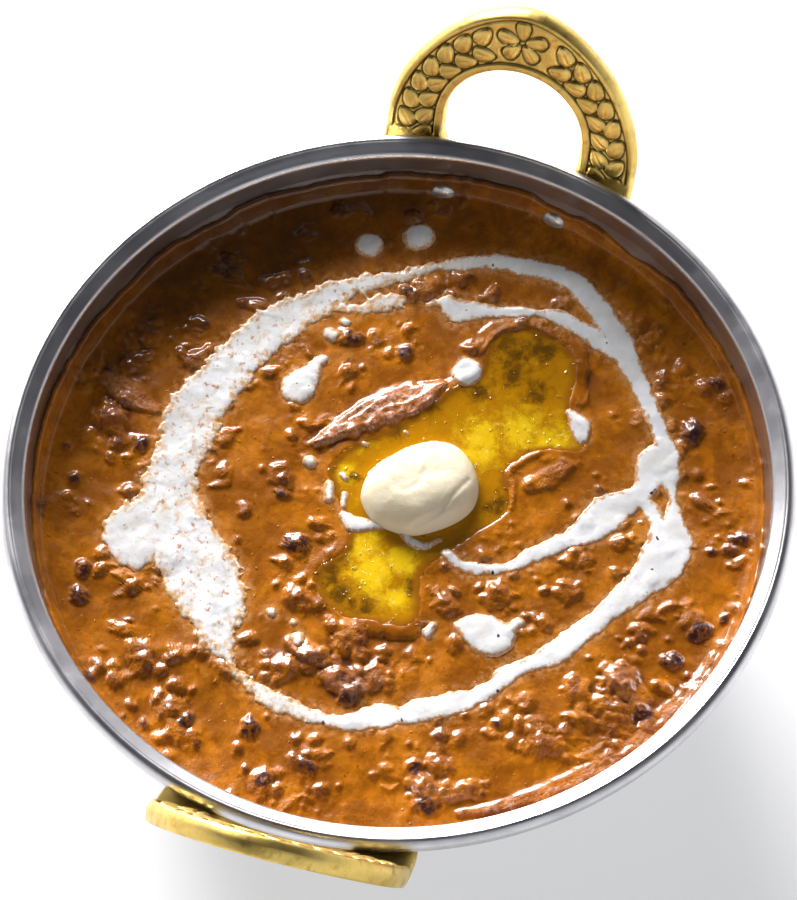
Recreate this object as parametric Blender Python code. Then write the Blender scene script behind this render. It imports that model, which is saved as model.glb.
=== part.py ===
"""Dal makhani in a karahi: a hammered steel bowl with two riveted brass handles, filled with
lentil curry, topped with a cream swirl, a pool of melted butter and a pat of butter.

Metres, +Z up. The origin is the centre of the flat base; the handles lie along +X and -X.
"""
import math

import bmesh
import bpy
from mathutils import Matrix, Vector

MM = 0.001
GAP = 0.3 * MM                      # clearance between touching pieces

# Bowl: a turned wall that ends in a round rolled rim
RIM_RADIUS = 82.5 * MM              # outermost radius of the rim
BEAD_RADIUS = 2.6 * MM              # the rolled edge, seen in section
BOWL_HEIGHT = 58.0 * MM
WALL = 1.5 * MM
BASE_RADIUS = 38.0 * MM
TURN_STEPS = 56                     # facets round the bowl and the curry
WALL_STEPS = 7
OUTER_WALL_TOP = 0.95               # share of the wall's curve where the rolled rim takes over
INNER_WALL_TOP = 0.98
BEAD_TURNS = range(-115, 181, 30)   # degrees round the bead's section, from below it outward

BEAD_CENTRE = RIM_RADIUS - BEAD_RADIUS
RIM_LEVEL = BOWL_HEIGHT - BEAD_RADIUS
WALL_CURVE = ((BASE_RADIUS, 0.0), (56.0 * MM, 0.0), (74.0 * MM, 24.0 * MM),
              (RIM_RADIUS - 3.7 * MM, RIM_LEVEL))

# Handles: a D-shaped plate that leans out above the rim and hugs the wall below it
HANDLE_LEAN = math.radians(24.7)
HANDLE_FRONT = 81.7 * MM            # front face at rim level, from the axis
HANDLE_THICKNESS = 4.3 * MM
# outlines in the plate's plane, from the rim level up: half width, height of the widest place,
# rise above it, drop below it, and the powers of the superellipse above and below it
HANDLE_EDGE = (27.0 * MM, 3.0 * MM, 33.0 * MM, 18.0 * MM, 1.75, 3.5)
HOLE_EDGE = (15.0 * MM, 6.0 * MM, 15.2 * MM, 10.0 * MM, 2.0, 5.0)
PLATE_THICKNESS = 3.6 * MM          # of the part that hugs the wall
PLATE_BEND = 8.0 * MM               # length over which the leaning part turns into it
LOOP_STEPS = 44
LOOP_RINGS = 3

# Rivets
RIVET_ANGLE = math.radians(9.4)     # from the handle's middle, round the bowl
RIVET_DROP = 10.5 * MM              # below the rim level
HEAD_SEAT = 0.6 * MM                # of a head's underside off the wall's or bar's facets
SHANK_RADIUS = 2.1 * MM
HEAD_RADIUS = 2.8 * MM
HEAD_HEIGHT = 1.4 * MM
RIVET_DOME = ((HEAD_RADIUS, 0.0), (HEAD_RADIUS * 0.86, HEAD_HEIGHT * 0.6),
              (HEAD_RADIUS * 0.5, HEAD_HEIGHT * 0.92))
RIVET_STEPS = 12

# Curry
CURRY_DROP = 10.2 * MM              # its level below the rim level
CURRY_LEVEL = RIM_LEVEL - CURRY_DROP
CURRY_WAVE = 0.35 * MM              # unevenness of its top
CURRY_EDGE_RISE = 0.8 * MM          # where it clings to the wall
CURRY_TOP_RINGS = 7

# Melted butter, butter pat and cream
POOL_DEPTH = 2.1 * MM
POOL_SINK = 0.1 * MM                # of its level below the curry's
POOL_EDGE = ((46, -13), (44, -24), (34, -27), (28, -32), (20, -24), (8, -22), (-6, -14), (-13, -9),
             (-25, -9), (-26, 3), (-19, 11), (-8, 9), (2, 13), (9, 15), (19, 5), (30, -4))
PAT_CENTRE = (5.3 * MM, -3.1 * MM)
PAT_HALF = (12.3 * MM, 10.7 * MM, 4.2 * MM)
PAT_TURN = math.radians(-74)
PAT_LIFT = 1.8 * MM                 # its middle above the curry's level
PAT_SINK = 1.2 * MM                 # its underside below the curry's level
CREAM_HEIGHT = 0.9 * MM
# each stroke of cream: (angle in degrees, radius in mm, half width in mm) along its middle
CREAM_RING = ((20, 55, 2.4), (4, 59, 2.0), (-12, 64, 2.4), (-30, 60, 2.4), (-48, 56.5, 2.2),
              (-68, 56, 2.4), (-84, 58.5, 4.2), (-100, 51, 3.0), (-122, 45, 2.6), (-146, 46, 2.6),
              (-172, 50, 2.2), (162, 50, 1.7), (140, 45.5, 3.4), (114, 52, 6.6), (90, 47, 5.0),
              (64, 50, 4.6), (40, 53.5, 3.4))
CREAM_ARC = ((8, 48.5, 1.4), (-6, 50, 2.8), (-21, 54.5, 2.5), (-33, 57.5, 2.0))
CREAM_TAIL = ((-72, 54, 1.8), (-77, 42, 3.0), (-90, 34.5, 2.2), (-107, 25, 1.7), (-118, 16, 1.2))
# each drop of cream: (x, y, half length, half width) in mm
CREAM_DROPS = ((57.8, 24.2, 3.4, 2.9), (62.5, 14.3, 3.5, 3.0), (34.5, -4.7, 3.3, 3.1),
               (23.7, 28.2, 5.0, 3.8), (28.7, -30.6, 3.9, 2.4), (-22.3, -25.7, 6.0, 4.2))


def clear_scene():
    for item in list(bpy.data.objects):
        bpy.data.objects.remove(item)


def make_material(name, colour, roughness, metallic=0.0):
    material = bpy.data.materials.new(name)
    material.use_nodes = True
    shader = material.node_tree.nodes["Principled BSDF"]
    shader.inputs["Base Color"].default_value = (*colour, 1.0)
    shader.inputs["Roughness"].default_value = roughness
    shader.inputs["Metallic"].default_value = metallic
    return material


def add_object(name, mesh_data, material=None, sharp=math.radians(40)):
    """Turn a bmesh into a named object, with its normals pointing out; no material: a cutter."""
    bmesh.ops.recalc_face_normals(mesh_data, faces=mesh_data.faces)
    mesh = bpy.data.meshes.new(name)
    mesh_data.to_mesh(mesh)
    mesh_data.free()
    mesh.shade_smooth()
    mesh.set_sharp_from_angle(angle=sharp)
    item = bpy.data.objects.new(name, mesh)
    bpy.context.scene.collection.objects.link(item)
    if material is None:
        item.hide_render = True
        item.display_type = "WIRE"
    else:
        mesh.materials.append(material)
    return item


def add_boolean(item, other, operation="DIFFERENCE"):
    modifier = item.modifiers.new(operation.title(), "BOOLEAN")
    modifier.object = other
    modifier.operation = operation
    modifier.solver = "EXACT"


# Surfaces -------------------------------------------------------------------

def wall_point(t, offset=0.0):
    """Point (radius, height) of the bowl's outer wall at t, moved outward by offset."""
    s = 1 - t
    weights = (s ** 3, 3 * s * s * t, 3 * s * t * t, t ** 3)
    slopes = (-3 * s * s, 3 * s * s - 6 * s * t, 6 * s * t - 3 * t * t, 3 * t * t)
    r, z = (sum(w * p[axis] for w, p in zip(weights, WALL_CURVE)) for axis in (0, 1))
    dr, dz = (sum(w * p[axis] for w, p in zip(slopes, WALL_CURVE)) for axis in (0, 1))
    length = math.hypot(dr, dz)
    return r + offset * dz / length, z - offset * dr / length


def wall_at(height, offset=0.0):
    """Radius and downward slope angle of the wall, moved outward by offset, at a height."""
    low, high = 0.0, 1.0
    for _ in range(40):
        middle = (low + high) / 2
        if wall_point(middle, offset)[1] < height:
            low = middle
        else:
            high = middle
    r0, z0 = wall_point(low - 0.01, offset)
    r1, z1 = wall_point(low, offset)
    return r1, math.atan2(r1 - r0, z1 - z0)


def curry_height(x, y):
    """Height of the curry's top: level in the middle, uneven further out, raised at the wall."""
    r = math.hypot(x, y)
    uneven = min(max((r - 32 * MM) / (14 * MM), 0.0), 1.0)
    wave = math.sin(x / (8.3 * MM) + 0.6) + math.cos(y / (9.7 * MM) - x / (15.0 * MM))
    cling = min(max((r - 70 * MM) / (5.5 * MM), 0.0), 1.0)
    return CURRY_LEVEL + CURRY_WAVE / 2 * uneven * wave + CURRY_EDGE_RISE * cling ** 2


def turned(profile, top=None):
    """Closed turned body from (radius, height) points; top(x, y) gives heights marked None."""
    body = bmesh.new()
    rings = []
    for radius, height in profile:
        steps = TURN_STEPS if radius > 0 else 1
        ring = []
        for step in range(steps):
            angle = 2 * math.pi * step / TURN_STEPS
            x, y = radius * math.cos(angle), radius * math.sin(angle)
            ring.append(body.verts.new((x, y, top(x, y) if height is None else height)))
        rings.append(ring)
    for lower, upper in zip(rings, rings[1:]):
        for step in range(TURN_STEPS):
            after = (step + 1) % TURN_STEPS
            corners = [lower[step % len(lower)], lower[after % len(lower)],
                       upper[after % len(upper)], upper[step % len(upper)]]
            body.faces.new(list(dict.fromkeys(corners)))
    return body


def smooth_path(points, steps, closed):
    """Catmull-Rom curve through points of any dimension."""
    count = len(points)
    spans = count if closed else count - 1
    path = []
    for span in range(spans):
        if closed:
            p = [points[(span + k) % count] for k in (-1, 0, 1, 2)]
        else:
            p = [points[min(max(span + k, 0), count - 1)] for k in (-1, 0, 1, 2)]
        for step in range(steps):
            t = step / steps
            path.append(tuple(0.5 * (2 * b + (c - a) * t + (2 * a - 5 * b + 4 * c - d) * t ** 2
                                     + (3 * b - a - 3 * c + d) * t ** 3)
                              for a, b, c, d in zip(*p)))
    if not closed:
        path.append(tuple(points[-1]))
    return path


# Pieces ---------------------------------------------------------------------

def wall_profile(top, offset=0.0):
    """Points up the wall, from the base to the share top of its curve."""
    return [wall_point(top * step / WALL_STEPS, offset) for step in range(WALL_STEPS + 1)]


def bowl_body():
    """Outer wall, rolled rim and inner wall, as one turned shell."""
    bead = []
    for angle in BEAD_TURNS:
        turn = math.radians(angle)
        bead.append((BEAD_CENTRE + BEAD_RADIUS * math.cos(turn),
                     RIM_LEVEL + BEAD_RADIUS * math.sin(turn)))
    outer = wall_profile(OUTER_WALL_TOP)
    inner = wall_profile(INNER_WALL_TOP, -WALL)
    return turned([(0.0, 0.0)] + outer + bead + inner[::-1] + [(0.0, WALL)])


def curry_body(lift=0.0):
    """The curry, out to a small gap from the bowl's inner wall; lift raises its top."""
    inset = -(WALL + GAP)
    edge_radius = wall_at(CURRY_LEVEL + CURRY_EDGE_RISE, inset)[0]
    side = [point for point in wall_profile(INNER_WALL_TOP, inset)
            if point[1] < CURRY_LEVEL - 2 * MM]
    top = [(edge_radius * (1 - step / CURRY_TOP_RINGS), None)
           for step in range(CURRY_TOP_RINGS + 1)]
    return turned([(0.0, WALL + GAP)] + side + top, lambda x, y: curry_height(x, y) + lift)


def loop_point(shape, turn):
    """Point of a D-shaped outline: an arch above its widest place, squarer below it."""
    half_width, widest, rise, drop, arch_power, foot_power = shape
    height, power = (rise, arch_power) if turn <= math.pi else (drop, foot_power)
    c, s = math.cos(turn), math.sin(turn)
    across = math.copysign(abs(c) ** (2 / power), c) * half_width
    up = math.copysign(abs(s) ** (2 / power), s) * height
    return across, widest + up


def handle_point(across, up, depth):
    """Place a point of the handle's plate: depth 0 is its front face, 1 its back face."""
    lean = Vector((math.cos(HANDLE_LEAN), 0, -math.sin(HANDLE_LEAN)))
    rise = Vector((math.sin(HANDLE_LEAN), 0, math.cos(HANDLE_LEAN)))
    leaning = (Vector((HANDLE_FRONT, across, RIM_LEVEL)) + rise * up
               + lean * HANDLE_THICKNESS * depth)
    if up >= 0:
        return leaning
    bend = min(-up / PLATE_BEND, 1.0)
    bend = bend * bend * (3 - 2 * bend)
    offset = GAP * 1.2 + PLATE_THICKNESS * depth
    radius, slope = wall_at(RIM_LEVEL + up)
    angle = across / radius
    out = Vector((math.cos(angle) * math.cos(slope), math.sin(angle) * math.cos(slope),
                  -math.sin(slope)))
    on_wall = Vector((radius * math.cos(angle), radius * math.sin(angle), RIM_LEVEL + up))
    return leaning.lerp(on_wall + out * offset, bend)


def handle_body():
    """D-shaped ring plate with an arch above the rim and a riveted bar below it."""
    body = bmesh.new()
    front, back = [], []
    for depth, rings in ((0, front), (1, back)):
        for ring in range(LOOP_RINGS + 1):
            share = ring / LOOP_RINGS
            verts = []
            for step in range(LOOP_STEPS):
                turn = 2 * math.pi * (step + 0.5) / LOOP_STEPS
                across, up = (a + (b - a) * share for a, b in
                              zip(loop_point(HANDLE_EDGE, turn), loop_point(HOLE_EDGE, turn)))
                verts.append(body.verts.new(handle_point(across, up, depth)))
            rings.append(verts)
    strips = list(zip(front, front[1:])) + list(zip(back[1:], back))
    strips += [(back[0], front[0]), (front[-1], back[-1])]
    for first, second in strips:
        for step in range(LOOP_STEPS):
            after = (step + 1) % LOOP_STEPS
            body.faces.new((first[step], first[after], second[after], second[step]))
    return body


def rivet_frame(side, sign):
    """Matrix with its origin on the outer wall at a rivet and its Z axis pointing out."""
    height = RIM_LEVEL - RIVET_DROP
    radius, slope = wall_at(height)
    angle = sign * RIVET_ANGLE + (0 if side > 0 else math.pi)
    place = Matrix.Rotation(angle, 4, "Z") @ Matrix.Translation((radius, 0, height))
    return place @ Matrix.Rotation(math.pi / 2 + slope, 4, "Y")


def rivet_body():
    """Shank with a domed head inside the bowl and another outside the handle's bar."""
    head_out = PLATE_THICKNESS + HEAD_SEAT
    head_in = -(WALL + HEAD_SEAT)
    profile = [(r, head_in - h) for r, h in reversed(RIVET_DOME)]
    profile += [(SHANK_RADIUS, head_in), (SHANK_RADIUS, head_out)]
    profile += [(r, head_out + h) for r, h in RIVET_DOME]
    return pin(profile)


def bore_body():
    """Cutter for the hole that the shank passes through."""
    reach = 6 * MM
    return pin([(SHANK_RADIUS + GAP, -reach), (SHANK_RADIUS + GAP, PLATE_THICKNESS + reach)])


def head_clearance():
    """Cutter that keeps the curry clear of an inner head."""
    profile = [(r + GAP, -(WALL + HEAD_SEAT) - h - GAP) for r, h in reversed(RIVET_DOME)]
    return pin(profile + [(HEAD_RADIUS + GAP, 0.0)])


def pin(profile):
    """Closed body turned about Z from (radius, height) points, with flat ends."""
    body = bmesh.new()
    rings = []
    for radius, height in profile:
        angles = (2 * math.pi * step / RIVET_STEPS for step in range(RIVET_STEPS))
        rings.append([body.verts.new((radius * math.cos(a), radius * math.sin(a), height))
                      for a in angles])
    close_rings(body, rings)
    return body


def close_rings(body, rings):
    """Skin a stack of rings of equal length and cap both ends."""
    for lower, upper in zip(rings, rings[1:]):
        for step in range(len(lower)):
            after = (step + 1) % len(lower)
            body.faces.new((lower[step], lower[after], upper[after], upper[step]))
    body.faces.new(rings[0])
    body.faces.new(rings[-1])


def pool_body(grow=0.0, top=-POOL_SINK):
    """Prism with the pool's outline, grown sideways and downwards by grow."""
    outline = smooth_path([(x * MM, y * MM) for x, y in POOL_EDGE], 3, closed=True)
    count = len(outline)
    body = bmesh.new()
    lower, upper = [], []
    for index, (x, y) in enumerate(outline):
        before, after = outline[index - 1], outline[(index + 1) % count]
        along = Vector((after[0] - before[0], after[1] - before[1])).normalized()
        x, y = x - along.y * grow, y + along.x * grow
        lower.append(body.verts.new((x, y, CURRY_LEVEL - POOL_DEPTH - grow)))
        upper.append(body.verts.new((x, y, CURRY_LEVEL + top)))
    close_rings(body, [lower, upper])
    return body


def pat_body(grow=0.0):
    """Soft rounded pat: a fat ellipsoid with a flat underside."""
    body = bmesh.new()
    bmesh.ops.create_uvsphere(body, u_segments=24, v_segments=11, radius=1.0)
    centre = Matrix.Translation((*PAT_CENTRE, CURRY_LEVEL + PAT_LIFT))
    place = centre @ Matrix.Rotation(PAT_TURN, 4, "Z")
    floor = CURRY_LEVEL - PAT_SINK - grow
    for vert in body.verts:
        fat = max(abs(vert.co.z), 0.001) ** 0.85
        direction = Vector((vert.co.x, vert.co.y, math.copysign(fat, vert.co.z)))
        vert.co = place @ Vector([c * (half + grow) for c, half in zip(direction, PAT_HALF)])
        vert.co.z = max(vert.co.z, floor)
    return body


def stroke_body(points, closed):
    """Low ribbon of cream along polar points (degrees, mm, half width in mm)."""
    nodes = []
    for angle, radius, half in points:
        turn = math.radians(angle)
        nodes.append((radius * math.cos(turn) * MM, radius * math.sin(turn) * MM, half * MM))
    path = smooth_path(nodes, 2, closed)
    count = len(path)
    section = ((-1, -1.0), (1, -1.0), (1, 0.35), (0.55, 1.0), (-0.55, 1.0), (-1, 0.35))
    body = bmesh.new()
    rings = []
    for index, (x, y, half) in enumerate(path):
        before = path[index - 1] if closed else path[max(index - 1, 0)]
        after = path[(index + 1) % count] if closed else path[min(index + 1, count - 1)]
        along = Vector((after[0] - before[0], after[1] - before[1])).normalized()
        base = curry_height(x, y) + GAP
        rings.append([body.verts.new((x - along.y * half * a, y + along.x * half * a,
                                      base + CREAM_HEIGHT * h)) for a, h in section])
    if not closed:
        close_rings(body, rings)
        return body
    for first, second in zip(rings, rings[1:] + rings[:1]):
        for corner in range(len(section)):
            after = (corner + 1) % len(section)
            body.faces.new((first[corner], first[after], second[after], second[corner]))
    return body


def drop_body(x, y, half_length, half_width):
    """Low oval dome of cream; its length lies across the handles' line."""
    body = bmesh.new()
    base = curry_height(x * MM, y * MM) + GAP
    steps = 16
    rings = []
    for share, height in ((1.0, -1.0), (1.0, 0.3), (0.6, 1.0)):
        ring = []
        for step in range(steps):
            turn = 2 * math.pi * step / steps
            ring.append(body.verts.new(((x + half_width * share * math.cos(turn)) * MM,
                                        (y + half_length * share * math.sin(turn)) * MM,
                                        base + CREAM_HEIGHT * height)))
        rings.append(ring)
    close_rings(body, rings)
    return body


def build_vessel(steel, brass, rivet_steel):
    bowl = add_object("bowl", bowl_body(), steel)
    rivets = []
    for side, word in ((1, "right"), (-1, "left")):
        handle = add_object("handle_" + word, handle_body(), brass)
        if side < 0:
            handle.rotation_euler.z = math.pi
        for sign, place in ((1, "a"), (-1, "b")):
            frame = rivet_frame(side, sign)
            bore = add_object("bore_" + word + "_" + place, bore_body())
            bore.matrix_world = frame
            add_boolean(bowl, bore)
            add_boolean(handle, bore)
            rivet = add_object("rivet_" + word + "_" + place, rivet_body(), rivet_steel)
            rivet.matrix_world = frame
            rivets.append(frame)
    return rivets


def build_food(rivet_frames, curry_colour, melted, butter, cream):
    curry = add_object("dal", curry_body(), curry_colour)
    for number, frame in enumerate(rivet_frames):
        clearance = add_object("rivet_clearance_%d" % number, head_clearance())
        clearance.matrix_world = frame
        add_boolean(curry, clearance)
    add_boolean(curry, add_object("pool_pocket", pool_body(GAP, top=5 * MM)))

    pool = add_object("melted_butter", pool_body(), melted)
    add_boolean(pool, add_object("pat_pocket", pat_body(GAP)))
    add_object("butter_pat", pat_body(), butter)

    raised_curry = add_object("raised_curry", curry_body(GAP))
    swirl = add_object("cream_swirl", stroke_body(CREAM_RING, closed=True), cream)
    for name, points in (("cream_arc", CREAM_ARC), ("cream_tail", CREAM_TAIL)):
        add_boolean(swirl, add_object(name, stroke_body(points, closed=False)), "UNION")
    add_boolean(swirl, raised_curry)
    for number, size in enumerate(CREAM_DROPS, start=1):
        drop = add_object("cream_drop_%d" % number, drop_body(*size), cream)
        add_boolean(drop, raised_curry)


def main():
    clear_scene()
    steel = make_material("steel", (0.55, 0.54, 0.55), 0.28, 1.0)
    rivet_steel = make_material("rivet_steel", (0.62, 0.61, 0.60), 0.3, 1.0)
    brass = make_material("brass", (0.48, 0.33, 0.10), 0.32, 1.0)
    curry_colour = make_material("dal", (0.35, 0.11, 0.01), 0.25)
    melted = make_material("melted_butter", (0.75, 0.47, 0.01), 0.08)
    butter = make_material("butter", (0.93, 0.84, 0.66), 0.35)
    cream = make_material("cream", (0.86, 0.85, 0.82), 0.3)
    rivet_frames = build_vessel(steel, brass, rivet_steel)
    build_food(rivet_frames, curry_colour, melted, butter, cream)


main()
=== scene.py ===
"""Looks of the dal makhani in its karahi: hammered steel bowl, chased brass handles, lentil curry,
cream swirl, melted butter and a pat of butter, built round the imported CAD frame.

Lengths are in mm until add_mesh() turns them into metres. +X points at the far handle.
"""

from math import atan2, cos, hypot, pi, radians, sin

import bmesh
import bpy
import numpy as np
from mathutils import Matrix, Vector


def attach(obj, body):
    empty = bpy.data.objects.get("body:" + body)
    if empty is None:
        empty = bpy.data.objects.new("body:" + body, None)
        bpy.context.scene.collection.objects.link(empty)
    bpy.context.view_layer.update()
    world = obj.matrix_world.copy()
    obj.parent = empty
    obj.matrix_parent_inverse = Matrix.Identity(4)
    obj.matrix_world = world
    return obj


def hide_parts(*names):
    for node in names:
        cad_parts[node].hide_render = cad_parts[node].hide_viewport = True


MM = 0.001

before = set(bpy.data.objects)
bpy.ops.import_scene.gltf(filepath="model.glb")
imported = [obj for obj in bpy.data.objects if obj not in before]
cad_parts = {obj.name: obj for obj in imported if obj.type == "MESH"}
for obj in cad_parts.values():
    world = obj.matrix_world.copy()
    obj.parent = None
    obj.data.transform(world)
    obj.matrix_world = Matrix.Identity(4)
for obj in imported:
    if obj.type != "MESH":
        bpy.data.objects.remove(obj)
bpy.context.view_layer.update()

# Shared sizes, the same as in the CAD ---
RIM_LEVEL = 55.4
WALL = 1.5
WALL_CURVE = ((38.0, 0.0), (56.0, 0.0), (74.0, 24.0), (78.8, 55.4))
LEVEL = 45.2                        # of the curry
POOL_LEVEL = LEVEL - 0.1
POOL_EDGE = (
    (44, -8), (48, -15), (44, -25), (31, -27.5), (27.5, -32), (23.5, -32), (20.5, -23.5), (14, -18.5),
    (10.5, -20.5), (5, -22), (-6, -13.5), (-12.5, -8.5), (-20, -10), (-25, -9.5), (-26.5, -0.5), (-26, 6),
    (-20, 12), (-11.5, 7), (-2.5, 12), (6.5, 16), (18, 5.5), (29.5, -3.5), (36, -8))
PAT_EDGE = (
    (0.5, 8.5), (5, 8.3), (9.8, 5.4), (14.2, 1), (16.6, -4), (16.4, -8.3), (13.4, -12.2), (9, -14.8),
    (4.2, -15.2), (0, -13), (-3.8, -8.5), (-6, -4.3), (-6, 0.5), (-5, 4.2), (-2.5, 7))
PAT_CENTRE = (5.3, -3.1)
PAT_RISE = 6.0                      # its top above the curry
HANDLE_LEAN = radians(24.7)
HANDLE_FRONT = 81.7                 # front face at rim level, from the axis
HANDLE_THICKNESS = 4.3
# outlines in the plate's plane: half width, height of the widest place, rise above and drop below it,
# and the superellipse's powers above and below it
HANDLE_EDGE = (27.0, 3.0, 33.0, 18.0, 1.75, 3.5)
HOLE_EDGE = (15.0, 6.0, 15.2, 10.0, 2.0, 5.0)
PLATE_THICKNESS = 3.6               # of the part that hugs the wall
PLATE_BEND = 8.0
PLATE_GAP = 0.36
RIVET_ANGLE = radians(9.4)
RIVET_DROP = 10.5
HEAD_SEAT = 0.6
SHANK_RADIUS = 2.1
HEAD_RADIUS = 2.8
HEAD_HEIGHT = 1.4

# strokes of cream: (x, y, half width)
CREAM_RING = (
    (55, 11, 1.6), (50.5, 19, 2), (46, 26, 3), (41, 31, 3.8), (34, 37, 5.2), (27, 41.5, 5.2),
    (19, 44.5, 5.4), (10, 47.5, 6.3), (3, 47.5, 6), (-3, 47.5, 5.4), (-9, 47.5, 6), (-16, 44, 7),
    (-22, 39, 7.8), (-28, 33.5, 8), (-33, 30, 6.4), (-37.5, 28, 4.2), (-41.5, 25, 2.4), (-44.5, 22.5, 1.2),
    (-46, 20.5, 0.9), (-47, 18, 1.9), (-49.5, 13, 2.2), (-50.3, 7, 2), (-50.8, 1, 1.6), (-50, -5, 2.1),
    (-47.5, -9.5, 3), (-45.5, -14, 2.3), (-43, -18, 2.7), (-39, -25, 2.7), (-35.5, -29.5, 2),
    (-30.5, -32.5, 2.2), (-26.5, -37, 1.9), (-22.5, -41, 2.9), (-18, -44, 2.5), (-13.5, -47, 2.5),
    (-8.5, -50, 2.8), (-3, -53, 3.6), (2.5, -56, 4.9), (8, -56.5, 4.7), (12.5, -56, 2.4), (16.5, -55, 1.1),
    (20, -53.5, 1.4), (24, -51, 3), (28.5, -50, 2.4), (32.5, -47.5, 1.9), (36.5, -44.5, 2), (41, -41, 2.2),
    (45, -37.5, 2.5), (49, -34.5, 2.9), (53, -31, 3), (57.5, -26, 2.8), (61, -21, 2.6), (62.3, -15.5, 2.5),
    (62, -9.5, 2.2), (61.5, -4, 2.1), (60.3, 0.5, 1.9), (58.6, 4, 1.7), (57, 8, 1.1))
CREAM_STROKES = (
    ((-16, 50, 4), (-20.5, 51.5, 6.6), (-25, 49.5, 4.6)),                 # smooth blob
    ((42, 27, 1.6), (42.5, 21.5, 1.5), (45, 17.5, 2.1), (46.5, 14.5, 1.9), (46, 12, 0.8)),
    ((47.5, 8, 0.6), (49, 4.5, 1.6), (48, 1.5, 3), (49, -2.5, 2.3), (50, -7, 1.6), (51.2, -12, 1.4),
     (52, -16, 1.3), (52, -20.5, 1.8), (51, -25.5, 2), (49.5, -29.5, 2.1), (47, -34, 1.8)),
    ((25, -48.5, 4.2), (21.5, -48.5, 3.2), (17, -47.5, 2.5), (13.5, -44.5, 3.3), (10, -41.5, 4.2),
     (6, -39, 3.3), (3, -36.5, 2.2), (0, -33.3, 2.2), (-2.5, -30.5, 1.9), (-6.5, -27, 1.4),
     (-8.5, -22.5, 1.4), (-9.2, -19, 1.6), (-9, -15.5, 1.3), (-7.5, -12.5, 1.2)),
    ((17, -47, 1.5), (12.5, -52, 1.8), (8, -54, 2.5)))
CREAM_DROPS = (
    ((20.8, 28.3, 3.9), (24.5, 27, 2.4), (27, 26.3, 1.7), (28.8, 25.3, 1.2)),
    ((57.8, 24.2, 2.9), (57.9, 23.6, 2.9)), ((62.3, 14.6, 3.2), (62.6, 14, 3.2)),
    ((34.3, -4.8, 3.3), (34, -4.6, 3.2)),
    ((31, -28, 1), (28.8, -31, 2.3), (26.5, -32, 2)),
    ((-22.5, -19, 0.7), (-22.6, -24, 3.9), (-23.4, -27.5, 4.3), (-21, -30, 1.6), (-18.5, -31.5, 1.3)),
    ((-26, -14, 1.4), (-24.3, -14.5, 1.1)))
# stray dots and dribbles of cream, some of them over the edge of the pool
CREAM_DOTS = (
    ((38.7, 23.6, 1.2), (38.4, 23.2, 1.1)), ((35, 25.6, 1.7), (34.8, 25.2, 1.6)),
    ((5, 21, 1.5), (4.7, 20.7, 1.5)), ((-34.6, 11.5, 1.5), (-35.6, 11, 1.2)),
    ((-31.5, 13.5, 0.8), (-31.6, 13.3, 0.8)), ((-30.5, 18.5, 1.1), (-30.8, 18.2, 1)),
    ((0.8, 15.4, 1.1), (-2.2, 14.6, 1.2)), ((-0.2, 11.8, 0.8), (-3, 11.2, 0.9)),
    ((4, 13.4, 0.9), (3.2, 12.6, 0.8)), ((12, 11, 0.8), (12.3, 10.4, 0.6)), ((17.2, 3.6, 0.7), (17, 3, 0.6)),
    ((-5.4, 10.2, 1.3), (-6.4, 7.6, 2.1), (-5.8, 4.6, 1.3), (-5.4, 1.6, 0.7)),
    ((-5.8, -2.6, 0.9), (-7.2, -5.2, 1.2), (-7, -8, 1.1), (-5, -10.4, 0.6)))

# Lumps that stand out, (x, y, size)
DARK_LENTILS = (
    (43, 50, 2.2), (30, 52, 1.5), (35.5, 20, 2), (-1, 56, 2), (49, 13, 2.1), (46, -56, 2), (34, -54, 2.9),
    (-32, 59, 2.2), (-38, 58, 2.4), (-57, 15, 2.5), (-14, 18, 2.8), (-44, -3, 2.9), (-4, 24, 1.7),
    (12, -69, 1.4), (-6, -72, 1.5), (-10, -68, 2.6), (-18, -64, 2.5), (-31, -62, 2.2), (-6, 71, 1.3),
    (-66, 13, 1.3))
BIG_LUMPS = (
    (51, 9, 3), (-43, 47, 2.2), (-52, 32, 2.2), (-57, 32, 3.4), (-62, 16, 1.6), (-66, -3, 1.8),
    (-26, 14, 3.4), (-38, -6, 2.5), (-19, -16, 2.8), (-44, -44, 2.8), (24, 62, 2.6), (17, 64, 3),
    (3, 64, 4), (21, 51, 3), (0, 26, 3), (-32, 1, 3.9), (-42, 12, 3.4), (-41, 1, 3.4), (-48, 41, 3.6),
    (-62, 29, 2.8), (-68, 9, 3.2), (-30, -47, 3.4), (-26, -55, 4.4), (-32, -54, 3.4), (-34, -57, 4.2),
    (-54, -25, 2.8), (-60, -23, 2.8), (-57, -33, 2.3), (-9, -39, 2.6), (-14, -25, 3.1), (19, -60, 2.1),
    (44, -45, 1.9))
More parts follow.
